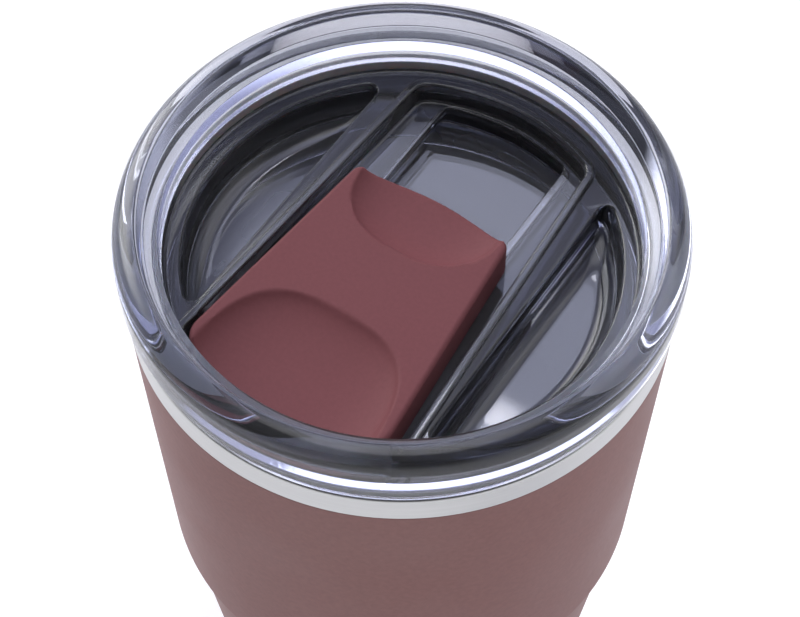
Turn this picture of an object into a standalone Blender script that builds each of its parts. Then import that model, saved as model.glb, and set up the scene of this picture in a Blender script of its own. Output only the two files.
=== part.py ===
"""Insulated steel tumbler with a clear press-in lid and a sliding closure.

Frame: origin at the centre of the base where it stands, +Z up, the drinking side at -Y.
The slider opens towards +Y. Sizes are in millimetres and are scaled to metres by MM.
"""
import bmesh
import bpy
from math import asin, atan2, cos, degrees, hypot, pi, radians, sin, sqrt, tan

MM = 0.001
GAP = 0.3                      # clearance between neighbouring pieces
HEIGHT = 200.0                 # base to the top of the lid's rim
LID_R = 50.0                   # widest radius of the lid's rim
STEPS = 56                     # facets round a turned piece
SMALL_STEPS = 48               # facets round a small turned piece

# Cup
SHELL_TOP_Z = 180.9            # where the paint ends
SHELL_TOP_R = 49.2
SHOULDER_Z = 110.75            # where the upper wall starts to curve in
SHOULDER_WALL_R = 47.35
SHOULDER_R = 6.4               # radius of the shoulder's curve
SHOULDER_SWEEP = radians(42)
UPPER_TAPER = atan2(SHELL_TOP_R - SHOULDER_WALL_R, SHELL_TOP_Z - SHOULDER_Z)
FOOT_TAPER = 0.1               # radius lost per unit of height below the shoulder
FOOT_CORNER_R = 3.4
SHELL_FOOT_Z = 1.9             # underside of the shell's turned-in edge
SHELL_EDGE_R = 30.5            # inner radius of that edge
SHELL_T = 0.7
LIP_Z = 186.3                  # top of the steel lip
LIP_OUT_R = 48.85
BAND_T = 0.7                   # sheet thickness of the liner and its band
BAND_SEAM = 0.08               # seam between the bare band and the painted shell
MOUTH_R = 46.3                 # inner radius at the mouth
LINER_GAP = 4.4                # inner face of the liner, inside the shell's outer face
LINER_FLOOR_Z = 9.0
PLATE_Z = 3.1                  # underside of the base disc
PLATE_T = 0.8
PLATE_R = 32.4
DIMPLE_R = 3.6
DIMPLE_DEPTH = 1.8
PORT_R = 0.9                   # pump-out hole
PAD_R = 32.2
PAD_PLUG_R = 30.2

# Lid
RIM_CORNER_R = 3.8             # rounding of the rim's outer edge
WALL_FOOT_Z = 191.0            # lower edge of the rim's outer wall
SKIRT_R = 48.9                 # lower, slightly narrower skirt that rests on the lip
SKIRT_IN_R = 47.0
SKIRT_Z = LIP_Z + GAP
DECK_Z = 187.7                 # top of the sunken deck
DECK_R = 41.9
LEDGE_R = 42.6                 # small ledge part way down the rim's inner slope
LEDGE_Z = 191.9
PLUG_R = 44.6
GROOVE_R = 43.0
GROOVE_LOW_Z = 183.0
GROOVE_TOP_Z = 189.4
PLUG_TOE_R = 43.0              # outer radius of the plug at its foot
PLUG_FOOT_Z = 166.0
PLUG_T = 2.4                   # wall thickness at the plug's foot
PLATE_UNDER_Z = 177.4          # underside of the deck plate and its wells
WELL_FLOOR_Z = 179.4           # floor of the two D-shaped wells
WELL_R = 38.95
WELL_EDGE_X = 24.1             # straight side of each D
WELL_CORNER = 1.4
DRAFT = 0.5                    # how much narrower each well is at its floor

# Slider channel, widest at the drinking side
CHANNEL_HALF = 20.1            # half width at y = 0
CHANNEL_TAPER = 0.058          # half width lost per unit of +y
CHANNEL_FAR_R = 38.0
CHANNEL_NEAR_R = 41.7
CHANNEL_CORNER = 2.8
CHANNEL_Z = 183.8              # top of the side ledges the cap runs over
BEAD_W = 1.7                   # raised bead round the channel
BEAD_H = 0.8
SLOT_HALF = 13.0               # T-slot: neck, then wider undercut
UNDERCUT_HALF = 14.3
UNDERCUT_TOP_Z = 182.2
SLOT_FLOOR_Z = 179.0
SLOT_NEAR_Y = -37.4
SLOT_FAR_Y = 37.3
MOUTHPIECE_Y = -30.5           # drinking opening
MOUTHPIECE_HALF_X = 11.0
MOUTHPIECE_HALF_Y = 4.2
VENT_R = 1.4
VENT_Y = -19.0                 # under the slider's foot when closed, clear of it when open

# Slider, drawn closed
CAP_TOP_Z = 191.35
CAP_UNDER_Z = CHANNEL_Z + GAP
CAP_HALF = 17.0                # half width at y = 0
CAP_TAPER = 0.095
CAP_NEAR_R = CHANNEL_NEAR_R - GAP
CAP_FAR_Y = 11.9               # middle of the far edge
FAR_BOW_R = 42.0               # bow of the far edges of the cap, its foot and the slot
CAP_CORNER = 2.4
CAP_EDGE = 0.7                 # rounding of the cap's top edge
CAP_WALL = 2.0
CAP_HOLLOW_Z = 186.2
DISH_CENTRE_Y = -41.5          # big thumb dish
DISH_HALF = (18.3, 23.5)
DISH_SQUARENESS = 3.0          # 2 is an ellipse, more is closer to a rounded box
DISH_DEPTH = 3.2
SCOOP_CENTRE_Y = 10.8          # small scoop at the far edge
SCOOP_HALF = (15.0, 13.6)
SCOOP_SQUARENESS = 2.4
SCOOP_DEPTH = 2.4
BOWL_LIFT = 1.3                # height of each bowl's centre over the cap
FOOT_HALF = 14.0
NECK_HALF = 12.7
FOOT_NEAR_Y = -37.0
FOOT_FAR_Y = 15.0
FOOT_LOW_Z = 179.6
FOOT_TOP_Z = UNDERCUT_TOP_Z - GAP
NECK_TOP_Z = CAP_HOLLOW_Z - GAP
NECK_NEAR_Y = -35.5
NECK_FAR_Y = 6.5
SEAL_MARGIN = 1.2              # how far the pad overlaps the opening all round
SEAL_LOW_Z = SLOT_FLOOR_Z + 0.2
SEAL_TOP_Z = 180.8


# ---------------------------------------------------------------- helpers

def clear_scene():
    for item in list(bpy.data.objects):
        bpy.data.objects.remove(item, do_unlink=True)


def make_material(name, colour, roughness, metallic=0.0, alpha=1.0):
    material = bpy.data.materials.new(name)
    material.use_nodes = True
    shader = material.node_tree.nodes["Principled BSDF"]
    shader.inputs["Base Color"].default_value = (*colour, 1.0)
    shader.inputs["Roughness"].default_value = roughness
    shader.inputs["Metallic"].default_value = metallic
    shader.inputs["Alpha"].default_value = alpha
    return material


def add_object(name, mesh, material=None):
    item = bpy.data.objects.new(name, mesh)
    bpy.context.scene.collection.objects.link(item)
    if material:
        mesh.materials.append(material)
    return item


def mesh_from(name, points, edges, faces):
    mesh = bpy.data.meshes.new(name)
    mesh.from_pydata([tuple(value * MM for value in point) for point in points], edges, faces)
    mesh.update()
    return mesh


def arc(centre_a, centre_b, radius, start, end, count):
    """Points along an arc, angles in degrees, both ends included."""
    step = radians(end - start) / count
    angles = [radians(start) + step * k for k in range(count + 1)]
    return [(centre_a + radius * cos(a), centre_b + radius * sin(a)) for a in angles]


def turned(name, outline, material, steps=STEPS):
    """Turn an (r, z) outline about Z. It runs down the outer side and back up the inner side."""
    points = [(r, 0.0, z) for r, z in outline]
    open_ended = outline[0][0] == 0 and outline[-1][0] == 0
    count = len(points)
    edges = [(k, k + 1) for k in range(count - 1)]
    if not open_ended:
        edges.append((count - 1, 0))
    item = add_object(name, mesh_from(name, points, edges, []), material)
    screw = item.modifiers.new("turn", "SCREW")
    screw.axis = "Z"
    screw.angle = 2 * pi
    screw.steps = steps
    screw.render_steps = steps
    screw.use_merge_vertices = True
    screw.merge_threshold = 0.00001
    screw.use_smooth_shade = True
    return item


def prism(name, outline, low, high, material=None, corners=(), corner_r=0.0, draft=0.0,
          top_edge=0.0):
    """Stand an (x, y) outline up from low to high.

    corners lists the outline points whose upright edges are rounded. draft pulls the low end
    in, and top_edge rounds the edge of the high end.
    """
    shape = bmesh.new()
    ring = [shape.verts.new((x * MM, y * MM, high * MM)) for x, y in outline]
    shape.faces.new(ring)
    bmesh.ops.recalc_face_normals(shape, faces=shape.faces[:])
    if corner_r:
        picked = [ring[k] for k in corners]
        bmesh.ops.bevel(shape, geom=picked, offset=corner_r * MM, offset_type="OFFSET",
                        segments=4, profile=0.5, affect="VERTICES")
    top = shape.faces[:][0]
    grown = bmesh.ops.extrude_face_region(shape, geom=[top])
    low_ring = [v for v in grown["geom"] if isinstance(v, bmesh.types.BMVert)]
    for vert in low_ring:
        vert.co.z = low * MM
    if draft:
        middle_x = sum(v.co.x for v in low_ring) / len(low_ring)
        middle_y = sum(v.co.y for v in low_ring) / len(low_ring)
        for vert in low_ring:
            reach = hypot(vert.co.x - middle_x, vert.co.y - middle_y)
            pull = 1 - draft * MM / reach
            vert.co.x = middle_x + (vert.co.x - middle_x) * pull
            vert.co.y = middle_y + (vert.co.y - middle_y) * pull
    bmesh.ops.recalc_face_normals(shape, faces=shape.faces[:])
    if top_edge:
        rim = [e for e in shape.edges if all(abs(v.co.z - high * MM) < 1e-7 for v in e.verts)]
        bmesh.ops.bevel(shape, geom=rim, offset=top_edge * MM, offset_type="OFFSET",
                        segments=3, profile=0.5, affect="EDGES")
    mesh = bpy.data.meshes.new(name)
    shape.to_mesh(mesh)
    shape.free()
    return add_object(name, mesh, material)


def bowl(name, centre, half, height, squareness):
    """A rounded cutter: centre, half sizes across, half height, squareness seen from above."""
    shape = bmesh.new()
    bmesh.ops.create_uvsphere(shape, u_segments=40, v_segments=20, radius=1.0)
    for vert in shape.verts:
        x, y, z = vert.co
        power = (abs(x) ** squareness + abs(y) ** squareness) ** (1 / squareness)
        spread = hypot(x, y) / power if power else 1.0
        vert.co.x = (centre[0] + x * spread * half[0]) * MM
        vert.co.y = (centre[1] + y * spread * half[1]) * MM
        vert.co.z = (centre[2] + z * height) * MM
    mesh = bpy.data.meshes.new(name)
    shape.to_mesh(mesh)
    shape.free()
    return add_object(name, mesh)


def combine(item, tool, operation):
    """Cut the tool from the item, or join it on. The tool stays in the scene as a guide."""
    step = item.modifiers.new(operation.lower(), "BOOLEAN")
    step.operation = operation
    step.object = tool
    step.solver = "EXACT"
    tool.hide_render = True
    tool.display_type = "WIRE"


def shade_round(item):
    item.data.shade_smooth()


# ---------------------------------------------------------------- cup

def upper_wall_r(z):
    """Outer radius of the straight wall above the shoulder."""
    return SHOULDER_WALL_R + (z - SHOULDER_Z) * tan(UPPER_TAPER)


def foot_wall_r(z):
    """Outer radius of the straight wall below the shoulder."""
    knee_r, knee_z = shoulder_points()[-1]
    return knee_r - FOOT_TAPER * (knee_z - z)


def shoulder_points():
    centre_r = SHOULDER_WALL_R - SHOULDER_R * cos(UPPER_TAPER)
    centre_z = SHOULDER_Z + SHOULDER_R * sin(UPPER_TAPER)
    sweep = (-UPPER_TAPER * 180 / pi, -SHOULDER_SWEEP * 180 / pi)
    return arc(centre_r, centre_z, SHOULDER_R, *sweep, 5)


def foot_corner(inset):
    """Rounded corner under the wall, inset from the shell's outer face."""
    centre_z = SHELL_FOOT_Z + FOOT_CORNER_R
    centre_r = foot_wall_r(centre_z) - FOOT_CORNER_R
    return arc(centre_r, centre_z, FOOT_CORNER_R - inset, 0, -90, 4)


def wall_points(inset):
    """The shell's wall from its top to the foot corner, inset from its outer face."""
    upper = [(SHELL_TOP_R - inset, SHELL_TOP_Z)]
    return upper + [(r - inset, z) for r, z in shoulder_points()]


def build_outer_shell(paint):
    outside = wall_points(0) + foot_corner(0) + [(SHELL_EDGE_R, SHELL_FOOT_Z)]
    inside = wall_points(SHELL_T) + foot_corner(SHELL_T)
    inside.append((SHELL_EDGE_R, SHELL_FOOT_Z + SHELL_T))
    turned("outer_shell", outside + inside[::-1], paint)


def build_inner_liner(steel):
    """Inner cup; its lip rolls outward and ends as the bare band over the painted shell."""
    mid = LIP_OUT_R - (LIP_OUT_R - MOUTH_R) / 2
    half = LIP_OUT_R - mid
    band_low = SHELL_TOP_Z + BAND_SEAM
    lip_out = arc(LIP_OUT_R - 0.6, LIP_Z - 0.6, 0.6, 90, 0, 3)
    lip_in = arc(MOUTH_R + 0.6, LIP_Z - 0.6, 0.6, 90, 180, 3)
    neck_z = 171.0
    waist_z = 160.0
    floor_corner = arc(foot_wall_r(14) - LINER_GAP - 6, LINER_FLOOR_Z + 6, 6, 0, -90, 4)
    outside = [(mid, LIP_Z)] + lip_out + [(SHELL_TOP_R, band_low)]
    band_back = [(SHELL_TOP_R - BAND_T, band_low), (LIP_OUT_R - BAND_T, LIP_Z - BAND_T - 0.2),
                 (mid, LIP_Z - BAND_T), (mid - half + BAND_T, LIP_Z - BAND_T - 0.2)]
    inner_wall = [(MOUTH_R, neck_z), (upper_wall_r(waist_z) - LINER_GAP, waist_z)]
    inner_wall += [(r - LINER_GAP, z) for r, z in shoulder_points()[::2]]
    outer_wall = [(r + BAND_T, z) for r, z in inner_wall]
    inner_wall += floor_corner
    outer_wall += [(r + BAND_T * cos(a), z - BAND_T * sin(a))
                   for (r, z), a in zip(floor_corner, (0, pi / 8, pi / 4, 3 * pi / 8, pi / 2))]
    outside += band_back + outer_wall + [(0, LINER_FLOOR_Z - BAND_T)]
    inside = [(0, LINER_FLOOR_Z)] + inner_wall[::-1] + lip_in[::-1]
    turned("inner_liner", inside + outside, steel)


def build_shell_base(steel):
    """Disc that closes the outer wall, with a dimple and a pump-out hole at its centre."""
    low, high = PLATE_Z, PLATE_Z + PLATE_T
    rise = DIMPLE_DEPTH
    outline = [(PLATE_R, high), (PLATE_R, low), (DIMPLE_R, low), (DIMPLE_R - 0.6, low + rise)]
    outline += [(PORT_R, low + rise), (PORT_R, high + rise), (DIMPLE_R + 0.2, high + rise)]
    outline += [(DIMPLE_R + PLATE_T, high)]
    turned("shell_base", outline, steel, SMALL_STEPS)


def build_sealing_bead(glass):
    radius, top = DIMPLE_R - 1.2, PLATE_Z + DIMPLE_DEPTH - GAP
    outline = [(0, top), (radius * 0.8, top), (radius, top - 0.4), (radius * 0.7, top - 0.9)]
    outline += [(0, top - 1.1)]
    turned("sealing_bead", outline, glass, 24)


def build_getter(metal):
    low = PLATE_Z + PLATE_T + GAP
    outline = [(0, low + 1.6), (4.4, low + 1.6), (5.0, low + 1.2), (5.0, low), (0, low)]
    getter = turned("getter", outline, metal, 24)
    getter.location.x = 15 * MM


def build_foot_pad(rubber):
    """Soft pad: its plug fills the shell's turned-in edge, its flange laps under it."""
    plug_top, flange_top = PLATE_Z - GAP, SHELL_FOOT_Z - GAP
    outline = [(0, plug_top), (PAD_PLUG_R, plug_top), (PAD_PLUG_R, flange_top)]
    outline += [(PAD_R, flange_top), (PAD_R, 0.6), (PAD_R - 0.6, 0), (19.5, 0), (18.5, 0.6), (0, 0.6)]
    turned("foot_pad", outline, rubber, SMALL_STEPS)


# ---------------------------------------------------------------- lid

def lid_outline():
    """Section of the lid: along the deck, up to the rim, down the outside and under the plug."""
    corner_z = HEIGHT - RIM_CORNER_R
    crest_r = LID_R - RIM_CORNER_R
    outside = arc(crest_r, corner_z, RIM_CORNER_R, 90, 0, 6)
    outside += [(LID_R - 0.2, WALL_FOOT_Z + 0.4), (LID_R - 0.6, WALL_FOOT_Z)]
    outside += [(SKIRT_R, WALL_FOOT_Z), (SKIRT_R, SKIRT_Z + 0.3), (SKIRT_R - 0.3, SKIRT_Z)]
    hollow = [(SKIRT_IN_R, SKIRT_Z), (SKIRT_IN_R, WALL_FOOT_Z), (LID_R - 2.3, WALL_FOOT_Z + 1)]
    hollow += [(LID_R - 2.3, HEIGHT - 3.6), (LID_R - 3.1, HEIGHT - 2.6)]
    hollow += [(PLUG_R + 0.3, LEDGE_Z), (PLUG_R + 0.3, GROOVE_TOP_Z)]
    groove = [(GROOVE_R, GROOVE_TOP_Z), (GROOVE_R, GROOVE_LOW_Z), (PLUG_R, GROOVE_LOW_Z)]
    toe = [(PLUG_TOE_R, PLUG_FOOT_Z + 0.8), (PLUG_TOE_R - 0.7, PLUG_FOOT_Z)]
    toe += [(PLUG_TOE_R - PLUG_T + 0.6, PLUG_FOOT_Z), (PLUG_TOE_R - PLUG_T, PLUG_FOOT_Z + 0.7)]
    plug = toe + [(PLUG_R - PLUG_T - 0.4, PLATE_UNDER_Z), (0, PLATE_UNDER_Z)]
    deck = [(0, DECK_Z), (DECK_R, DECK_Z), (DECK_R + 0.3, DECK_Z + 0.5)]
    slope = [(LEDGE_R - 0.25, LEDGE_Z - 0.25), (LEDGE_R + 0.2, LEDGE_Z + 0.1)]
    crest = [(crest_r - 0.9, HEIGHT - 1.1), (crest_r - 0.7, HEIGHT - 0.4)]
    crest += [(crest_r - 0.3, HEIGHT - 0.08)]
    return deck + slope + crest + outside + hollow + groove + plug


def tapered_end(half, taper, radius, far, count):
    """Arc about Z between the sides x = +-(half - taper * y), at their far or near crossing."""
    a = 1 + taper ** 2
    b = -2 * half * taper
    c = half ** 2 - radius ** 2
    root = sqrt(b * b - 4 * a * c)
    y = (-b + (root if far else -root)) / (2 * a)
    angle = degrees(atan2(y, half - taper * y))
    if far:
        return arc(0, 0, radius, angle, 180 - angle, count)
    return arc(0, 0, radius, -180 - angle, angle, count)


def end_corners(near, far):
    """Which points of near + far are the outline's four corners."""
    return (0, len(near) - 1, len(near), len(near) + len(far) - 1)


def channel_outline(grow=0.0):
    half = CHANNEL_HALF + grow
    near = tapered_end(half, CHANNEL_TAPER, CHANNEL_NEAR_R + grow / 2, False, 8)
    far = tapered_end(half, CHANNEL_TAPER, CHANNEL_FAR_R + grow, True, 6)
    return near + far, end_corners(near, far)


def well_outline(side):
    """D shape: an arc about Z closed by a straight side at x = WELL_EDGE_X."""
    reach = asin(sqrt(1 - (WELL_EDGE_X / WELL_R) ** 2)) * 180 / pi
    points = arc(0, 0, WELL_R, -reach, reach, 18)
    return [(side * x, y) for x, y in points], (0, len(points) - 1)


def stadium(centre_y, half_x, half_y, count=6):
    run = half_x - half_y
    right = [(x, y) for x, y in arc(run, centre_y, half_y, -90, 90, count)]
    left = [(x, y) for x, y in arc(-run, centre_y, half_y, 90, 270, count)]
    return right + left


def box_outline(half_x, near_y, far_y):
    return [(-half_x, near_y), (half_x, near_y), (half_x, far_y), (-half_x, far_y)]


def bowed_outline(half_x, near_y, far_y):
    """A box whose far edge bows outward to far_y at its middle."""
    reach = degrees(asin(half_x / FAR_BOW_R))
    far = arc(0, far_y - FAR_BOW_R, FAR_BOW_R, 90 - reach, 90 + reach, 6)
    return [(-half_x, near_y), (half_x, near_y)] + far


def build_lid_body(clear):
    lid = turned("lid_body", lid_outline(), clear)
    outline, corners = channel_outline(BEAD_W)
    bead = prism("bead_guide", outline, DECK_Z - 1, DECK_Z + BEAD_H, None, corners,
                 CHANNEL_CORNER + BEAD_W, top_edge=0.4)
    combine(lid, bead, "UNION")
    outline, corners = channel_outline()
    channel = prism("channel_cutter", outline, CHANNEL_Z, HEIGHT, None, corners, CHANNEL_CORNER)
    combine(lid, channel, "DIFFERENCE")
    slot = prism("slot_cutter", bowed_outline(SLOT_HALF, SLOT_NEAR_Y, SLOT_FAR_Y),
                 UNDERCUT_TOP_Z - 1, CHANNEL_Z + 1)
    combine(lid, slot, "DIFFERENCE")
    undercut = prism("undercut_cutter", bowed_outline(UNDERCUT_HALF, SLOT_NEAR_Y, SLOT_FAR_Y),
                     SLOT_FLOOR_Z, UNDERCUT_TOP_Z)
    combine(lid, undercut, "DIFFERENCE")
    for side, name in ((-1, "left"), (1, "right")):
        outline, corners = well_outline(side)
        well = prism("well_cutter_" + name, outline, WELL_FLOOR_Z, DECK_Z + 2, None, corners,
                     WELL_CORNER, draft=DRAFT)
        combine(lid, well, "DIFFERENCE")
    drink = prism("drink_cutter", stadium(MOUTHPIECE_Y, MOUTHPIECE_HALF_X, MOUTHPIECE_HALF_Y),
                  PLATE_UNDER_Z - 1, SLOT_FLOOR_Z + 1)
    combine(lid, drink, "DIFFERENCE")
    vent = prism("vent_cutter", arc(0, VENT_Y, VENT_R, 0, 337.5, 15),
                 PLATE_UNDER_Z - 1, SLOT_FLOOR_Z + 1)
    combine(lid, vent, "DIFFERENCE")


def build_lid_gasket(silicone):
    """Ring in the plug's groove, with two soft fins that meet the liner."""
    inner = GROOVE_R + GAP
    fin = MOUTH_R - 0.2
    top, low = GROOVE_TOP_Z - GAP, GROOVE_LOW_Z + GAP
    outline = [(fin - 0.4, top), (fin, top - 0.4), (fin, top - 1.0), (44.8, top - 1.6)]
    outline += [(44.8, low + 1.6), (fin, low + 1.0), (fin - 0.2, low + 0.4), (44.6, low)]
    outline += [(inner, low), (inner, top)]
    turned("lid_gasket", outline, silicone)


# ---------------------------------------------------------------- slider

def cap_outline(inset=0.0):
    """Tapered plate whose near end follows the rim and whose far edge bows outward."""
    half = CAP_HALF - inset
    far_y = CAP_FAR_Y - inset
    near = tapered_end(half, CAP_TAPER, CAP_NEAR_R - inset, False, 8)
    reach = degrees(asin((half - CAP_TAPER * far_y) / FAR_BOW_R))
    far = arc(0, far_y - FAR_BOW_R, FAR_BOW_R, 90 - reach, 90 + reach, 6)
    return near + far, end_corners(near, far)


def build_slider_cap(soft):
    outline, corners = cap_outline()
    cap = prism("slider_cap", outline, CAP_UNDER_Z, CAP_TOP_Z, soft, corners, CAP_CORNER,
                top_edge=CAP_EDGE)
    centre_z = CAP_TOP_Z + BOWL_LIFT
    dish = bowl("dish_cutter", (0, DISH_CENTRE_Y, centre_z), DISH_HALF,
                DISH_DEPTH + BOWL_LIFT, DISH_SQUARENESS)
    combine(cap, dish, "DIFFERENCE")
    scoop = bowl("scoop_cutter", (0, SCOOP_CENTRE_Y, centre_z), SCOOP_HALF,
                 SCOOP_DEPTH + BOWL_LIFT, SCOOP_SQUARENESS)
    combine(cap, scoop, "DIFFERENCE")
    outline, corners = cap_outline(CAP_WALL)
    hollow = prism("cap_hollow_cutter", outline, CAP_UNDER_Z - 1, CAP_HOLLOW_Z, None, corners, 1.0)
    combine(cap, hollow, "DIFFERENCE")
    shade_round(cap)


def build_slider_carrier(frame):
    """Runner: a foot held in the T-slot and a neck that fills the cap's hollow."""
    carrier = prism("slider_carrier", bowed_outline(FOOT_HALF, FOOT_NEAR_Y, FOOT_FAR_Y),
                    FOOT_LOW_Z, FOOT_TOP_Z, frame)
    neck = prism("neck_guide", box_outline(NECK_HALF, NECK_NEAR_Y, NECK_FAR_Y),
                 FOOT_TOP_Z - 0.5, NECK_TOP_Z)
    combine(carrier, neck, "UNION")
    seat = stadium(MOUTHPIECE_Y, MOUTHPIECE_HALF_X + SEAL_MARGIN + GAP,
                   MOUTHPIECE_HALF_Y + SEAL_MARGIN * 0.4 + GAP)
    pocket = prism("seal_pocket_cutter", seat, FOOT_LOW_Z - 1, SEAL_TOP_Z + GAP)
    combine(carrier, pocket, "DIFFERENCE")


def build_slider_seal(silicone):
    outline = stadium(MOUTHPIECE_Y, MOUTHPIECE_HALF_X + SEAL_MARGIN,
                      MOUTHPIECE_HALF_Y + SEAL_MARGIN * 0.4)
    prism("slider_seal", outline, SEAL_LOW_Z, SEAL_TOP_Z, silicone)


def main():
    clear_scene()
    paint = make_material("rose_paint", (0.21, 0.118, 0.109), 0.5, 0.1)
    steel = make_material("bare_steel", (0.62, 0.62, 0.62), 0.28, 1.0)
    clear = make_material("smoky_clear", (0.22, 0.24, 0.32), 0.03, 0.0, 0.35)
    soft = make_material("rose_soft_touch", (0.19, 0.075, 0.082), 0.6)
    silicone = make_material("pale_silicone", (0.8, 0.8, 0.8), 0.45)
    frame = make_material("carrier_clear", (0.22, 0.24, 0.32), 0.05, 0.0, 0.35)
    rubber = make_material("base_rubber", (0.03, 0.03, 0.03), 0.8)
    build_outer_shell(paint)
    build_inner_liner(steel)
    build_shell_base(steel)
    build_sealing_bead(make_material("solder_glass", (0.3, 0.34, 0.3), 0.2))
    build_getter(steel)
    build_foot_pad(rubber)
    build_lid_body(clear)
    build_lid_gasket(silicone)
    build_slider_cap(soft)
    build_slider_carrier(frame)
    build_slider_seal(silicone)


main()
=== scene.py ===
"""Looks of the insulated tumbler: fine surfaces, materials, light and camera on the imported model.

Sizes are in millimetres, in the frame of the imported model, and are scaled to metres by MM.
"""
from math import atan2, ceil, cos, degrees, hypot, pi, radians, sin, sqrt, tan

import bpy
from mathutils import Matrix, Vector


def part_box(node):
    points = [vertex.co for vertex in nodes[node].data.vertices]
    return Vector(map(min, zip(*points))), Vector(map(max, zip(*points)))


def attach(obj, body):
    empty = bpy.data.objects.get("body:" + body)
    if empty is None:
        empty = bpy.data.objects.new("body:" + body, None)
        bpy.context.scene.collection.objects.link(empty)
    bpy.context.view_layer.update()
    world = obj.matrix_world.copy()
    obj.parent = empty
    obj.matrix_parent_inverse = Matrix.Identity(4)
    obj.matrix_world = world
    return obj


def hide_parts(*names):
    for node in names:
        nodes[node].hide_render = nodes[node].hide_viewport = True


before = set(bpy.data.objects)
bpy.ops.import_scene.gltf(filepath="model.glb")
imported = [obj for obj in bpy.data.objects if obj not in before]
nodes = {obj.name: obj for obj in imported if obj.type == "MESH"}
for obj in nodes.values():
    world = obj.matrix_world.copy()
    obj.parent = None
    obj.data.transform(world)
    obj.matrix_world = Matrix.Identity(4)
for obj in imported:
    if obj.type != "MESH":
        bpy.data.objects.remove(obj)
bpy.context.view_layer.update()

MM = 0.001
GAP = 0.3                      # clearance between neighbouring pieces


def low_z(node):
    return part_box(node)[0].z / MM


def high_z(node):
    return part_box(node)[1].z / MM


def half_x(node):
    low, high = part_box(node)
    return (high.x - low.x) / 2 / MM


# Driving sizes read from the frame
HEIGHT = high_z("lid_body")
LID_R = half_x("lid_body")
SHELL_TOP_Z = high_z("outer_shell")
SHELL_TOP_R = half_x("outer_shell")
SHELL_FOOT_Z = low_z("outer_shell")
LIP_Z = high_z("inner_liner")
PLUG_FOOT_Z = low_z("lid_body")
CAP_TOP_Z = high_z("slider_cap")
CAP_UNDER_Z = low_z("slider_cap")

# Cup
TURN_STEPS = 240               # facets round a turned piece
SHOULDER_Z = 110.75
SHOULDER_WALL_R = 47.35
SHOULDER_R = 6.4
SHOULDER_SWEEP = radians(42)
UPPER_TAPER = atan2(SHELL_TOP_R - SHOULDER_WALL_R, SHELL_TOP_Z - SHOULDER_Z)
FOOT_TAPER = 0.1
FOOT_CORNER_R = 3.4
SHELL_EDGE_R = 30.5
SHELL_T = 0.7
LIP_OUT_R = 48.85
BAND_T = 0.7
BAND_SEAM = 0.08
MOUTH_R = 46.3
LINER_GAP = 4.4
LINER_FLOOR_Z = 9.0
LINER_FLOOR_CORNER_R = 6.0
LINER_WAIST_Z = 160.0          # the liner leaves the shell's taper here and widens to the mouth
LINER_NECK_Z = 171.0

# Lid
RIM_CORNER_R = 3.8
WALL_FOOT_Z = 191.0
SKIRT_R = 48.9
SKIRT_IN_R = 47.0
SKIRT_Z = LIP_Z + GAP
SKIRT_SEAM = 0.05              # hairline gap that keeps the rim's underside flat and clear
DECK_Z = 187.7
DECK_R = 41.9
LEDGE_IN_R = 42.3              # shallow ledge inside the rim
LEDGE_OUT_R = 44.5
LEDGE_Z = 195.4
LEDGE_RISE = 1.8
CREST_INSET = 0.6              # flat crest between the inner slope and the rounded edge
PLUG_R = 44.6
CORE_R = PLUG_R + 0.3          # solid part under the rim, above the gasket
PLUG_TOE_R = 43.0
PLUG_T = 2.4
GROOVE_R = 43.0
GROOVE_LOW_Z = 183.0
GROOVE_TOP_Z = 189.4
PLATE_UNDER_Z = 177.4
WELL_FLOOR_Z = 179.4
WELL_R = 38.95
WELL_EDGE_X = 24.1
WELL_CORNER = 1.5
WELL_SWEEP = 4.5               # the outer wall sweeps down into the floor
WELL_FILLET = 3.6              # the straight wall meets it in a smaller fillet
CHANNEL_HALF = 20.1
CHANNEL_TAPER = 0.058
CHANNEL_FAR_R = 38.0
CHANNEL_NEAR_R = 41.7
CHANNEL_CORNER = 3.2
CHANNEL_Z = 183.8
BEAD_W = 1.7
BEAD_H = 0.8
SLOT_HALF = 13.0
UNDERCUT_HALF = 14.3
UNDERCUT_TOP_Z = 182.2
SLOT_FLOOR_Z = 179.0
SLOT_NEAR_Y = -37.4
SLOT_FAR_Y = 37.3
FAR_BOW_R = 42.0
MOUTHPIECE_Y = -30.5
MOUTHPIECE_HALF_X = 11.0
MOUTHPIECE_HALF_Y = 4.2
VENT_R = 1.4
VENT_Y = -19.0

# Slider
CAP_HALF = 17.0
CAP_TAPER = 0.095
CAP_NEAR_R = 41.4
CAP_FAR_Y = 12.7
CAP_NEAR_CORNER = 4.4
CAP_FAR_CORNER = 2.2
CAP_EDGE = 0.9
CAP_WALL = 2.0
CAP_HOLLOW_Z = 186.2
CAP_MIDDLE_Y = -11.0
DISH = {"centre": -41.5, "half": (18.3, 23.3), "squareness": 3.0, "flatness": 3.6,
        "depth": 4.6, "fall": 0.06}
SCOOP = {"centre": 10.8, "half": (14.6, 13.2), "squareness": 2.4, "flatness": 3.0,
         "depth": 3.2, "fall": 0.05}
BOWL_LIFT = 0.5                # the smaller, the steeper a bowl's edge
BOWL_LIP = 0.55                # softness of a bowl's edge


# ---------------------------------------------------------------- outlines

def arc(centre, radius, start, end, turn):
    """Points along an arc, angles in degrees, both ends included."""
    count = max(2, ceil(abs(end - start) / turn))
    angles = [radians(start + (end - start) * k / count) for k in range(count + 1)]
    return [Vector((centre[0] + radius * cos(a), centre[1] + radius * sin(a))) for a in angles]


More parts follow.
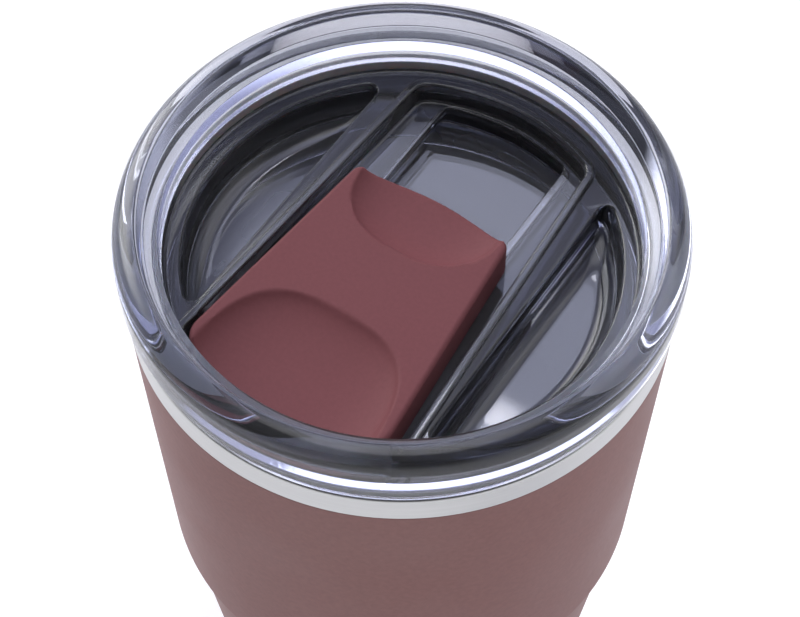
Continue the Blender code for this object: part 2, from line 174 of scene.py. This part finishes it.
def rounded(corners, turn):
    """An open outline whose corners (a, b, radius) are rounded; (a, b) stays sharp."""
    points = []
    for k, corner in enumerate(corners):
        here = Vector(corner[:2])
        if len(corner) == 2:
            points.append(here)
            continue
        before = (Vector(corners[k - 1][:2]) - here).normalized()
        after = (Vector(corners[(k + 1) % len(corners)][:2]) - here).normalized()
        half = before.angle(after) / 2
        centre = here + (before + after).normalized() * (corner[2] / sin(half))
        spoke = here + before * (corner[2] / tan(half)) - centre
        sweep = (pi - 2 * half) * (1 if before.cross(after) < 0 else -1)
        steps = max(2, ceil(abs(degrees(sweep)) / turn))
        points += [centre + Matrix.Rotation(sweep * i / steps, 2) @ spoke for i in range(steps + 1)]
    return points


def quarter(half, taper, radius, corner, far, middle_y=0.0):
    """Right half of one end: from the side x = half - taper * y round a corner to x = 0."""
    side = Vector((1, taper)).normalized()
    along = Vector((-side.y, side.x))
    reach = half / hypot(1, taper) - side.y * middle_y - corner
    rise = sqrt((radius - corner) ** 2 - reach ** 2) * (1 if far else -1)
    centre = Vector((0, middle_y)) + side * reach + along * rise
    side_angle = degrees(atan2(side.y, side.x))
    end_angle = degrees(atan2(centre.y - middle_y, centre.x))
    bend = arc(centre, corner, side_angle, end_angle, 9)
    return bend + arc((0, middle_y), radius, end_angle, 90 if far else -90, 2)[1:]


def mirrored(points):
    return [Vector((-p.x, p.y)) for p in points]


def ringed(near, far):
    """Closed outline, counter-clockwise, from the right halves of both ends."""
    return far + mirrored(far)[::-1][1:] + mirrored(near) + near[::-1][1:]


def evened(outline, spacing):
    """Adds points to the long straight runs of a closed outline."""
    points = []
    for k, here in enumerate(outline):
        after = outline[(k + 1) % len(outline)]
        parts = max(1, round((after - here).length / spacing))
        points += [here.lerp(after, i / parts) for i in range(parts)]
    return points


def grown(outline, amount):
    """The closed outline moved outward by amount along its own normals."""
    moved = []
    for k, here in enumerate(outline):
        run = outline[(k + 1) % len(outline)] - outline[k - 1]
        moved.append(here + Vector((run.y, -run.x)).normalized() * amount)
    return moved


def channel_outline():
    near = quarter(CHANNEL_HALF, CHANNEL_TAPER, CHANNEL_NEAR_R, CHANNEL_CORNER, False)
    far = quarter(CHANNEL_HALF, CHANNEL_TAPER, CHANNEL_FAR_R, CHANNEL_CORNER, True)
    return ringed(near, far)


def well_outline(side, radius=WELL_R, edge_x=WELL_EDGE_X):
    """Always the same number of points, so that outlines of different sizes can be lofted."""
    centre_x = edge_x + WELL_CORNER
    centre_y = sqrt((radius - WELL_CORNER) ** 2 - centre_x ** 2)
    angle = degrees(atan2(centre_y, centre_x))
    bend = (180 - angle) / 7.9
    points = arc((0, 0), radius, -angle, angle, angle / 19.9)
    points += arc((centre_x, centre_y), WELL_CORNER, angle, 180, bend)[1:]
    points += arc((centre_x, -centre_y), WELL_CORNER, 180, 360 - angle, bend)[:-1]
    return points if side > 0 else mirrored(points)[::-1]


def bowed_outline(half, near_y, far_y, corner):
    near = [Vector((half - corner, near_y + corner))]
    near = arc(near[0], corner, 0, -90, 15) + [Vector((0, near_y))]
    far = quarter(half, 0, FAR_BOW_R, corner, True, far_y - FAR_BOW_R)
    return ringed(near, far)


def stadium(centre_y, half_long, half_short):
    run = half_long - half_short
    right = arc((run, centre_y), half_short, -90, 90, 8)
    return right + arc((-run, centre_y), half_short, 90, 270, 8)


# ---------------------------------------------------------------- meshes

def add_object(name, points, faces):
    """A new object, in millimetres until place() scales it."""
    mesh = bpy.data.meshes.new(name)
    mesh.from_pydata([tuple(point) for point in points], [], faces)
    mesh.update()
    item = bpy.data.objects.new(name, mesh)
    bpy.context.scene.collection.objects.link(item)
    return item


def turned(name, outline, closed=True):
    """Turn an (r, z) outline about Z. It runs down the outer side and up the inner side."""
    points, rings, faces = [], [], []
    for r, z in outline:
        if r < 1e-6:
            rings.append([len(points)] * TURN_STEPS)
            points.append((0, 0, z))
            continue
        rings.append([len(points) + j for j in range(TURN_STEPS)])
        turns = [2 * pi * j / TURN_STEPS for j in range(TURN_STEPS)]
        points += [(r * cos(turn), r * sin(turn), z) for turn in turns]
    count = len(rings)
    for i in range(count if closed else count - 1):
        upper, lower = rings[i], rings[(i + 1) % count]
        for j in range(TURN_STEPS):
            after = (j + 1) % TURN_STEPS
            face = [upper[j], lower[j], lower[after], upper[after]]
            face = [v for k, v in enumerate(face) if v != face[k - 1]]
            if len(face) > 2:
                faces.append(face)
    return add_object(name, points, faces)


def lofted(name, rings):
    """Skin a stack of rings of (x, y, z) points, counter-clockwise, and close both ends."""
    size = len(rings[0])
    points = [point for ring in rings for point in ring]
    faces = []
    for i in range(len(rings) - 1):
        for j in range(size):
            after = (j + 1) % size
            low, high = i * size, (i + 1) * size
            faces.append([low + j, low + after, high + after, high + j])
    faces.append(list(range(size))[::-1])
    faces.append([(len(rings) - 1) * size + j for j in range(size)])
    return add_object(name, points, faces)


def stacked(name, outline, levels):
    """Loft one outline through levels of (z, how far it is grown)."""
    rings = [[(p.x, p.y, z) for p in grown(outline, grow)] for z, grow in levels]
    return lofted(name, rings)


def quarter_round(steps=6):
    """(across, along) of a quarter circle of radius 1, from tangent to one side to the other."""
    return [(1 - cos(pi / 2 * k / steps), sin(pi / 2 * k / steps)) for k in range(steps + 1)]


def flare_levels(top_z, flare_r, high_z):
    """Upper levels of a cutter that leaves a rounded edge round its mouth at top_z."""
    flare = [(top_z + 0.01 - flare_r * (1 - along), flare_r * across)
             for across, along in quarter_round()]
    return flare + [(high_z, flare_r)]


def floor_levels(floor_z, fillet_r):
    """Lower levels of a cutter that leaves a fillet round its floor."""
    return [(floor_z + fillet_r * across, -fillet_r * (1 - along))
            for across, along in quarter_round()]


def block_levels(low_z, top_z, edge):
    """Levels of a solid block with rounded top and bottom edges."""
    low = [(low_z + edge * across, -edge * (1 - along)) for across, along in quarter_round(4)]
    return low + [(low_z + top_z - z, grow) for z, grow in low[::-1]]


def smooth(item, sharp=32.0):
    """Smooth shading that keeps flat faces flat and edges over this angle sharp."""
    item.data.shade_smooth()
    item.data.set_sharp_from_angle(angle=radians(sharp))
    weigh = item.modifiers.new("weigh", "WEIGHTED_NORMAL")
    weigh.keep_sharp = True
    return item


def combined(item, tools, operation):
    """Apply a Boolean with each tool in turn, and remove the tools."""
    for tool in tools:
        step = item.modifiers.new("cut", "BOOLEAN")
        step.operation = operation
        step.object = tool
        step.solver = "EXACT"
        graph = bpy.context.evaluated_depsgraph_get()
        mesh = bpy.data.meshes.new_from_object(item.evaluated_get(graph))
        item.modifiers.clear()
        old, item.data = item.data, mesh
        bpy.data.meshes.remove(old)
        bpy.data.objects.remove(tool, do_unlink=True)
    item.data.name = item.name
    return item


# ---------------------------------------------------------------- materials

def new_material(name):
    material = bpy.data.materials.new(name)
    material.use_nodes = True
    return material, material.node_tree.nodes, material.node_tree.links


def object_noise(tree_nodes, links, scale, detail=3.0, stretch=(1, 1, 1)):
    """Noise in the object's own space; stretch scales it along each axis."""
    place = tree_nodes.new("ShaderNodeTexCoord")
    mapping = tree_nodes.new("ShaderNodeMapping")
    mapping.inputs["Scale"].default_value = stretch
    noise = tree_nodes.new("ShaderNodeTexNoise")
    noise.inputs["Scale"].default_value = scale
    noise.inputs["Detail"].default_value = detail
    links.new(place.outputs["Object"], mapping.inputs["Vector"])
    links.new(mapping.outputs["Vector"], noise.inputs["Vector"])
    return noise.outputs["Fac"]


def ranged(tree_nodes, links, value, low, high):
    """Map a noise value from its usual 0.3 to 0.7 onto low to high."""
    scale = tree_nodes.new("ShaderNodeMapRange")
    scale.inputs["From Min"].default_value = 0.3
    scale.inputs["From Max"].default_value = 0.7
    scale.inputs["To Min"].default_value = low
    scale.inputs["To Max"].default_value = high
    links.new(value, scale.inputs["Value"])
    return scale.outputs["Result"]


def two_tone(tree_nodes, links, value, dark, light):
    ramp = tree_nodes.new("ShaderNodeValToRGB")
    ramp.color_ramp.elements[0].position = 0.3
    ramp.color_ramp.elements[0].color = (*dark, 1)
    ramp.color_ramp.elements[1].position = 0.7
    ramp.color_ramp.elements[1].color = (*light, 1)
    links.new(value, ramp.inputs["Fac"])
    return ramp.outputs["Color"]


def add_bump(tree_nodes, links, shader, value, strength, depth):
    bump = tree_nodes.new("ShaderNodeBump")
    bump.inputs["Strength"].default_value = strength
    bump.inputs["Distance"].default_value = depth * MM
    links.new(value, bump.inputs["Height"])
    links.new(bump.outputs["Normal"], shader.inputs["Normal"])


def grained(name, colour, spread, roughness, grain, metallic=0.0, bump=0.3, depth=0.05,
            stretch=(1, 1, 1), settings=()):
    """A solid material whose colour and roughness vary with a fine grain that also bumps it.

    spread is how far the colour varies, roughness is (low, high), grain is the noise's scale,
    and settings holds (socket, value) for the shader.
    """
    material, tree_nodes, links = new_material(name)
    shader = tree_nodes["Principled BSDF"]
    fine = object_noise(tree_nodes, links, grain, 3.0, stretch)
    broad = object_noise(tree_nodes, links, 35.0, 2.0)
    dark = tuple(value * (1 - spread) for value in colour)
    light = tuple(min(1.0, value * (1 + spread)) for value in colour)
    links.new(two_tone(tree_nodes, links, fine, dark, light), shader.inputs["Base Color"])
    links.new(ranged(tree_nodes, links, broad, *roughness), shader.inputs["Roughness"])
    shader.inputs["Metallic"].default_value = metallic
    for socket, value in settings:
        shader.inputs[socket].default_value = value
    add_bump(tree_nodes, links, shader, fine, bump, depth)
    return material


def clear_plastic(name, tint, density, roughness):
    """Clear moulded plastic: refraction with a trace of haze, and a smoky tint held in its depth."""
    material, tree_nodes, links = new_material(name)
    shader = tree_nodes["Principled BSDF"]
    shader.inputs["Base Color"].default_value = (1, 1, 1, 1)
    shader.inputs["Transmission Weight"].default_value = 0.97
    shader.inputs["IOR"].default_value = 1.5
    haze = object_noise(tree_nodes, links, 60.0, 2.0)
    links.new(ranged(tree_nodes, links, haze, *roughness), shader.inputs["Roughness"])
    depth = tree_nodes.new("ShaderNodeVolumeAbsorption")
    depth.inputs["Color"].default_value = (*tint, 1)
    depth.inputs["Density"].default_value = density
    links.new(depth.outputs["Volume"], tree_nodes["Material Output"].inputs["Volume"])
    return material


POWDER_COAT = grained("powder_coat", (0.252, 0.119, 0.108), 0.06, (0.44, 0.54), 900.0,
                      bump=0.35, depth=0.03,
                      settings=(("Specular IOR Level", 0.15),))
BARE_STEEL = grained("satin_steel", (0.53, 0.53, 0.52), 0.03, (0.26, 0.34), 220.0, metallic=1.0,
                     bump=0.08, depth=0.01, stretch=(0.2, 0.2, 14.0))
SMOKY_CLEAR = clear_plastic("smoky_clear", (0.640, 0.655, 0.725), 190.0, (0.0, 0.02))
SILICONE = grained("pale_silicone", (0.80, 0.80, 0.80), 0.02, (0.4, 0.5), 300.0, bump=0.1,
                   depth=0.01, settings=(("Subsurface Weight", 0.1),))
SOFT_TOUCH = grained("soft_touch", (0.202, 0.070, 0.074), 0.04, (0.52, 0.62), 1400.0,
                     bump=0.25, depth=0.015, settings=(("Specular IOR Level", 0.12),))
RUBBER = grained("base_rubber", (0.03, 0.03, 0.031), 0.15, (0.7, 0.85), 700.0, bump=0.4, depth=0.04)
SOLDER_GLASS = grained("solder_glass", (0.30, 0.34, 0.30), 0.1, (0.12, 0.25), 200.0)
GETTER_METAL = grained("getter_metal", (0.42, 0.41, 0.40), 0.08, (0.4, 0.55), 350.0, metallic=1.0)


def place(item, material, body, slot, *replaced):
    """Scale a new piece to metres, give it its material, and let it stand for its CAD nodes."""
    item.data.transform(Matrix.Scale(MM, 4))
    item.data.materials.clear()
    item.data.materials.append(material)
    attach(item, body)
    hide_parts(*replaced)


# ---------------------------------------------------------------- cup

def shoulder_points(turn=6.0):
    centre_r = SHOULDER_WALL_R - SHOULDER_R * cos(UPPER_TAPER)
    centre_z = SHOULDER_Z + SHOULDER_R * sin(UPPER_TAPER)
    return arc((centre_r, centre_z), SHOULDER_R, -degrees(UPPER_TAPER), -degrees(SHOULDER_SWEEP),
               turn)


def foot_wall_r(z):
    knee_r, knee_z = shoulder_points()[-1]
    return knee_r - FOOT_TAPER * (knee_z - z)


def build_shell():
    knee = shoulder_points()[-1]
    toe_z = SHELL_FOOT_Z
    toe_r = foot_wall_r(toe_z)
    outside = [(SHELL_TOP_R - 0.12, SHELL_TOP_Z), (SHELL_TOP_R, SHELL_TOP_Z - 0.15)]
    outside += [tuple(p) for p in shoulder_points()[:-1]]
    outside += rounded([tuple(knee), (toe_r, toe_z, FOOT_CORNER_R), (SHELL_EDGE_R, toe_z)], 9)
    inside = rounded([(SHELL_EDGE_R, toe_z + SHELL_T),
                      (toe_r - SHELL_T, toe_z + SHELL_T, FOOT_CORNER_R - SHELL_T),
                      (knee[0] - SHELL_T, knee[1])], 9)
    inside += [(r - SHELL_T, z) for r, z in shoulder_points()[::-1][1:]]
    inside.append((SHELL_TOP_R - SHELL_T, SHELL_TOP_Z))
    shell = smooth(turned("painted_shell", outside + inside))
    place(shell, POWDER_COAT, "cup", "body_paint", "outer_shell")


def build_liner():
    band_low = SHELL_TOP_Z + BAND_SEAM
    mid = (LIP_OUT_R + MOUTH_R) / 2
    waist_z = LINER_WAIST_Z
    waist_r = SHOULDER_WALL_R + (waist_z - SHOULDER_Z) * tan(UPPER_TAPER) - LINER_GAP
    neck = [(r - LINER_GAP, z) for r, z in shoulder_points(12)]
    floor_r = foot_wall_r(LINER_FLOOR_Z) - LINER_GAP
    inner = rounded([(0, LINER_FLOOR_Z), (floor_r, LINER_FLOOR_Z, LINER_FLOOR_CORNER_R), neck[-1]], 9)
    inner += neck[::-1][1:] + [(waist_r, waist_z)]
    inner += rounded([inner[-1], (MOUTH_R, LINER_NECK_Z, 3.0), (MOUTH_R, LIP_Z, 0.8),
                      (LIP_OUT_R, LIP_Z, 0.8), (SHELL_TOP_R, band_low)], 12)[1:]
    back = rounded([(SHELL_TOP_R - BAND_T, band_low), (LIP_OUT_R - BAND_T, LIP_Z - BAND_T, 0.3),
                    (mid, LIP_Z - BAND_T), (MOUTH_R + BAND_T, LIP_Z - BAND_T, 0.3),
                    (MOUTH_R + BAND_T, LINER_NECK_Z), (waist_r + BAND_T, waist_z)], 20)
    back += [(r + BAND_T, z) for r, z in neck]
    back += rounded([back[-1], (floor_r + BAND_T, LINER_FLOOR_Z - BAND_T, LINER_FLOOR_CORNER_R),
                     (0, LINER_FLOOR_Z - BAND_T)], 12)[1:]
    liner = smooth(turned("steel_liner", inner + back, closed=False), 40)
    place(liner, BARE_STEEL, "cup", "bare_steel", "inner_liner")


# ---------------------------------------------------------------- lid

def lid_outline():
    """Section of the lid: along the deck, up to the rim, down the outside and under the plug."""
    return rounded([
        (0, DECK_Z), (DECK_R, DECK_Z, 0.7), (LEDGE_IN_R, LEDGE_Z, 0.3),
        (LEDGE_OUT_R, LEDGE_Z + LEDGE_RISE, 0.5),
        (LID_R - RIM_CORNER_R - CREST_INSET, HEIGHT, 0.9),
        (LID_R, HEIGHT, RIM_CORNER_R), (LID_R, WALL_FOOT_Z, 0.45), (CORE_R, WALL_FOOT_Z, 0.4),
        (CORE_R, GROOVE_TOP_Z, 0.2), (GROOVE_R, GROOVE_TOP_Z, 0.2),
        (GROOVE_R, GROOVE_LOW_Z, 0.2), (PLUG_R, GROOVE_LOW_Z, 0.5),
        (PLUG_TOE_R, PLUG_FOOT_Z, 0.9), (PLUG_TOE_R - PLUG_T, PLUG_FOOT_Z, 0.9),
        (PLUG_R - PLUG_T - 0.4, PLATE_UNDER_Z, 1.2), (0, PLATE_UNDER_Z)], 11)


def build_bead():
    """Raised bead round the channel, as a block that the channel is then cut through."""
    fillet, crown = 0.35, 0.55
    levels = [(DECK_Z - 1, BEAD_W + fillet)]
    levels += [(DECK_Z - 0.01 + fillet * across, BEAD_W + fillet * (1 - along))
               for across, along in quarter_round(4)]
    levels += [(DECK_Z + BEAD_H - crown * (1 - along), BEAD_W - crown * across)
               for across, along in quarter_round(5)]
    return stacked("bead", channel_outline(), levels)


def build_well(side):
    """Cutter for one side well."""
    levels = [(WELL_FLOOR_Z + WELL_SWEEP * across,
               well_outline(side, WELL_R - WELL_SWEEP * (1 - along),
                            WELL_EDGE_X + WELL_FILLET * (1 - along)))
              for across, along in quarter_round(12)]
    levels += [(z, grown(well_outline(side), grow))
               for z, grow in flare_levels(DECK_Z, 0.55, DECK_Z + 3)]
    return lofted("well", [[(p.x, p.y, z) for p in outline] for z, outline in levels])


def build_lid():
    lid = turned("clear_lid", lid_outline(), closed=False)
    skirt_top = WALL_FOOT_Z - SKIRT_SEAM
    skirt = turned("skirt", rounded([(SKIRT_R, skirt_top), (SKIRT_R, SKIRT_Z, 0.35),
                                     (SKIRT_IN_R, SKIRT_Z, 0.3), (SKIRT_IN_R, skirt_top)], 11))
    combined(lid, [skirt], "UNION")
    combined(lid, [build_bead()], "UNION")
    channel = stacked("channel", channel_outline(),
                      floor_levels(CHANNEL_Z, 0.7) + flare_levels(DECK_Z + BEAD_H, 0.6, HEIGHT - 1))
    slot = stacked("slot", bowed_outline(SLOT_HALF, SLOT_NEAR_Y + 0.5, SLOT_FAR_Y - 0.5, 1.2),
                   [(UNDERCUT_TOP_Z - 1, 0)] + flare_levels(CHANNEL_Z, 0.35, CHANNEL_Z + 1))
    under_outline = bowed_outline(UNDERCUT_HALF, SLOT_NEAR_Y, SLOT_FAR_Y, 1.6)
    undercut = stacked("undercut", under_outline, block_levels(SLOT_FLOOR_Z, UNDERCUT_TOP_Z, 0.4))
    drink = stacked("drink", stadium(MOUTHPIECE_Y, MOUTHPIECE_HALF_X, MOUTHPIECE_HALF_Y),
                    [(PLATE_UNDER_Z - 1, 0)] + flare_levels(SLOT_FLOOR_Z, 0.3, SLOT_FLOOR_Z + 0.8))
    vent = stacked("vent", arc((0, VENT_Y), VENT_R, 0, 348, 12),
                   [(PLATE_UNDER_Z - 1, 0), (SLOT_FLOOR_Z + 1, 0)])
    combined(channel, [slot, undercut, drink, vent], "UNION")
    wells = [build_well(side) for side in (-1, 1)]
    combined(lid, [channel] + wells, "DIFFERENCE")
    smooth(lid, 30)
    place(lid, SMOKY_CLEAR, "lid", "smoky_clear", "lid_body")


def build_gasket():
    inner = GROOVE_R + GAP
    fin = MOUTH_R - 0.2
    web = PLUG_R + 0.2
    top, low = GROOVE_TOP_Z - GAP, GROOVE_LOW_Z + GAP
    outline = rounded([(inner, top, 0.2), (fin, top, 0.4), (fin, top - 1.2, 0.3),
                       (web, top - 1.7, 0.3), (web, low + 1.7, 0.3), (fin, low + 1.2, 0.3),
                       (fin, low, 0.4), (inner, low, 0.2)], 20)
    gasket = smooth(turned("silicone_gasket", outline))
    place(gasket, SILICONE, "lid", "pale_silicone", "lid_gasket")


# ---------------------------------------------------------------- slider

def bowl_depth(x, y, bowl):
    """How deep a bowl is at (x, y), with a soft lip."""
    power = bowl["squareness"]
    across = abs(x / bowl["half"][0]) ** power + abs((y - bowl["centre"]) / bowl["half"][1]) ** power
    full = bowl["depth"] + bowl["fall"] * (bowl["centre"] - y) + BOWL_LIFT
    inner = 1 - across ** (bowl["flatness"] / power) * (1 - (BOWL_LIFT / full) ** 2)
    drop = full * sqrt(max(inner, 0)) - BOWL_LIFT
    rest = (sqrt(BOWL_LIFT ** 2 + BOWL_LIP ** 2) - BOWL_LIFT) / 2
    return (drop + sqrt(drop ** 2 + BOWL_LIP ** 2)) / 2 - rest


def cap_height(x, y):
    return CAP_TOP_Z - bowl_depth(x, y, DISH) - bowl_depth(x, y, SCOOP)


def cap_outline():
    near = quarter(CAP_HALF, CAP_TAPER, CAP_NEAR_R, CAP_NEAR_CORNER, False)
    far = quarter(CAP_HALF, CAP_TAPER, FAR_BOW_R, CAP_FAR_CORNER, True, CAP_FAR_Y - FAR_BOW_R)
    return evened(ringed(near, far), 0.8)


def build_cap():
    outline = cap_outline()
    inset = grown(outline, -CAP_WALL)
    rings = [[(p.x, p.y, CAP_HOLLOW_Z) for p in inset], [(p.x, p.y, CAP_UNDER_Z) for p in inset]]
    rings += [[(p.x, p.y, CAP_UNDER_Z + 0.3 * across) for p in grown(outline, -0.3 * (1 - along))]
              for across, along in quarter_round(3)]
    for across, along in quarter_round(8):
        ring = grown(outline, -CAP_EDGE * across)
        rings.append([(p.x, p.y, cap_height(p.x, p.y) - CAP_EDGE * (1 - along)) for p in ring])
    edge = grown(outline, -CAP_EDGE)
    middle = Vector((0, CAP_MIDDLE_Y))
    steps = 56
    for k in range(1, steps):
        ring = [middle.lerp(p, 1 - k / steps) for p in edge]
        rings.append([(p.x, p.y, cap_height(p.x, p.y)) for p in ring])
    cap = smooth(lofted("soft_touch_cap", rings), 50)
    place(cap, SOFT_TOUCH, "slider", "soft_touch", "slider_cap")


def build_carrier():
    foot_low, foot_top = low_z("slider_carrier"), UNDERCUT_TOP_Z - GAP
    half = half_x("slider_carrier")
    near_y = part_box("slider_carrier")[0].y / MM
    far_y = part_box("slider_carrier")[1].y / MM
    foot = stacked("clear_runner", bowed_outline(half, near_y, far_y, 1.3),
                   block_levels(foot_low, foot_top, 0.25))
    neck = stacked("neck", bowed_outline(half - 1.3, near_y + 1.5, far_y - 8.5, 1.0),
                   block_levels(foot_top - 0.5, high_z("slider_carrier"), 0.2))
    combined(foot, [neck], "UNION")
    seal_low, seal_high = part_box("slider_seal")
    seat_long = (seal_high.x - seal_low.x) / 2 / MM + GAP
    seat_short = (seal_high.y - seal_low.y) / 2 / MM + GAP
    pocket = stacked("pocket", stadium(MOUTHPIECE_Y, seat_long, seat_short),
                     [(foot_low - 1, 0), (seal_high.z / MM + GAP, 0)])
    combined(foot, [pocket], "DIFFERENCE")
    smooth(foot)
    place(foot, SMOKY_CLEAR, "slider", "carrier_clear", "slider_carrier")
    seal = stacked("seal_pad", stadium(MOUTHPIECE_Y, seat_long - GAP, seat_short - GAP),
                   block_levels(seal_low.z / MM, seal_high.z / MM, 0.3))
    smooth(seal)
    place(seal, SILICONE, "slider", "pale_silicone", "slider_seal")


# ---------------------------------------------------------------- carried-over nodes

def repaint(node, material):
    data = nodes[node].data
    data.materials.clear()
    data.materials.append(material)
    data.shade_smooth()
    data.set_sharp_from_angle(angle=radians(35))


# ---------------------------------------------------------------- studio

# Patches of light, placed for the main view: azimuth and elevation of the middle, full
# out to core, gone at edge (all in degrees), colour
STUDIO_LIGHT = [
    (0, -90, 88, 110, (0.75, 0.75, 0.77)),
    (0, 90, 0, 90, (0.12, 0.125, 0.15)),
    (0, 90, 10, 26, (2.0, 2.0, 2.1)),
    (211.5, 58, 6.3, 7.3, (1.9, 2.0, 2.5)),
    (208.8, 60.6, 1.3, 2.1, (7.5, 7.5, 8.2)),
    (213, 56, 16, 32, (0.60, 0.63, 0.98)),
    (255, 29, 12, 27, (5.4, 5.4, 5.4)),
    (150, 50, 8, 24, (1.4, 1.4, 1.5)),
    (125, 15, 10, 40, (0.5, 0.5, 0.5)),
]


def add_camera():
    """One of several cameras that suit the view about as well; the lens is the longest one tried."""
    azimuth, elevation = radians(33.6), radians(56.3)
    focal, distance = 2000.0, 6.863 * LID_R * MM
    frame_width, sensor_width = 800, 36.0
    forward = Vector((-sin(azimuth) * cos(elevation), cos(azimuth) * cos(elevation),
                      -sin(elevation)))
    right = Vector((cos(azimuth), sin(azimuth), 0))
    up = right.cross(forward)
    # the rim's centre stands a little right of and well above the middle of the picture
    offset = right * (2.0 / focal) + up * (92.7 / focal)
    rim_centre = Vector((0, 0, (HEIGHT - 1.5) * MM))
    spot = rim_centre - (forward + offset) * distance
    data = bpy.data.cameras.new("camera")
    data.sensor_width = sensor_width
    data.lens = focal / frame_width * sensor_width
    camera = bpy.data.objects.new("camera", data)
    bpy.context.scene.collection.objects.link(camera)
    turn = Matrix((right, up, -forward)).transposed().to_4x4()
    camera.matrix_world = Matrix.Translation(spot) @ turn
    bpy.context.scene.camera = camera


def add_floor():
    size = 3.0
    mesh = bpy.data.meshes.new("floor")
    mesh.from_pydata([(-size, -size, 0), (size, -size, 0), (size, size, 0), (-size, size, 0)], [],
                     [(0, 1, 2, 3)])
    floor = bpy.data.objects.new("floor", mesh)
    bpy.context.scene.collection.objects.link(floor)
    material, tree_nodes, links = new_material("floor_white")
    shader = tree_nodes["Principled BSDF"]
    shader.inputs["Base Color"].default_value = (0.85, 0.85, 0.85, 1)
    shader.inputs["Roughness"].default_value = 0.9
    shader.inputs["Emission Color"].default_value = (1, 1, 1, 1)
    shader.inputs["Emission Strength"].default_value = 0.33
    mesh.materials.append(material)


def add_world():
    """Soft studio light: the sum of the patches in STUDIO_LIGHT."""
    world = bpy.data.worlds.new("studio")
    world.use_nodes = True
    tree_nodes, links = world.node_tree.nodes, world.node_tree.links
    direction = tree_nodes.new("ShaderNodeTexCoord").outputs["Generated"]
    total = None
    for azimuth, elevation, core, edge, colour in STUDIO_LIGHT:
        a, e = radians(azimuth), radians(elevation)
        facing = tree_nodes.new("ShaderNodeVectorMath")
        facing.operation = "DOT_PRODUCT"
        facing.inputs[1].default_value = (sin(a) * cos(e), -cos(a) * cos(e), sin(e))
        links.new(direction, facing.inputs[0])
        fade = tree_nodes.new("ShaderNodeMapRange")
        fade.interpolation_type = "SMOOTHSTEP"
        fade.inputs["From Min"].default_value = cos(radians(edge))
        fade.inputs["From Max"].default_value = cos(radians(core))
        links.new(facing.outputs["Value"], fade.inputs["Value"])
        patch = tree_nodes.new("ShaderNodeVectorMath")
        patch.operation = "SCALE"
        patch.inputs[0].default_value = colour
        links.new(fade.outputs["Result"], patch.inputs["Scale"])
        if total is None:
            total = patch.outputs["Vector"]
            continue
        added = tree_nodes.new("ShaderNodeVectorMath")
        added.operation = "ADD"
        links.new(total, added.inputs[0])
        links.new(patch.outputs["Vector"], added.inputs[1])
        total = added.outputs["Vector"]
    links.new(total, tree_nodes["Background"].inputs["Color"])
    bpy.context.scene.world = world


build_shell()
build_liner()
build_lid()
build_gasket()
build_cap()
build_carrier()
repaint("shell_base", BARE_STEEL)
repaint("sealing_bead", SOLDER_GLASS)
repaint("getter", GETTER_METAL)
repaint("foot_pad", RUBBER)
add_camera()
add_floor()
add_world()
bpy.context.scene.view_settings.view_transform = "Standard"
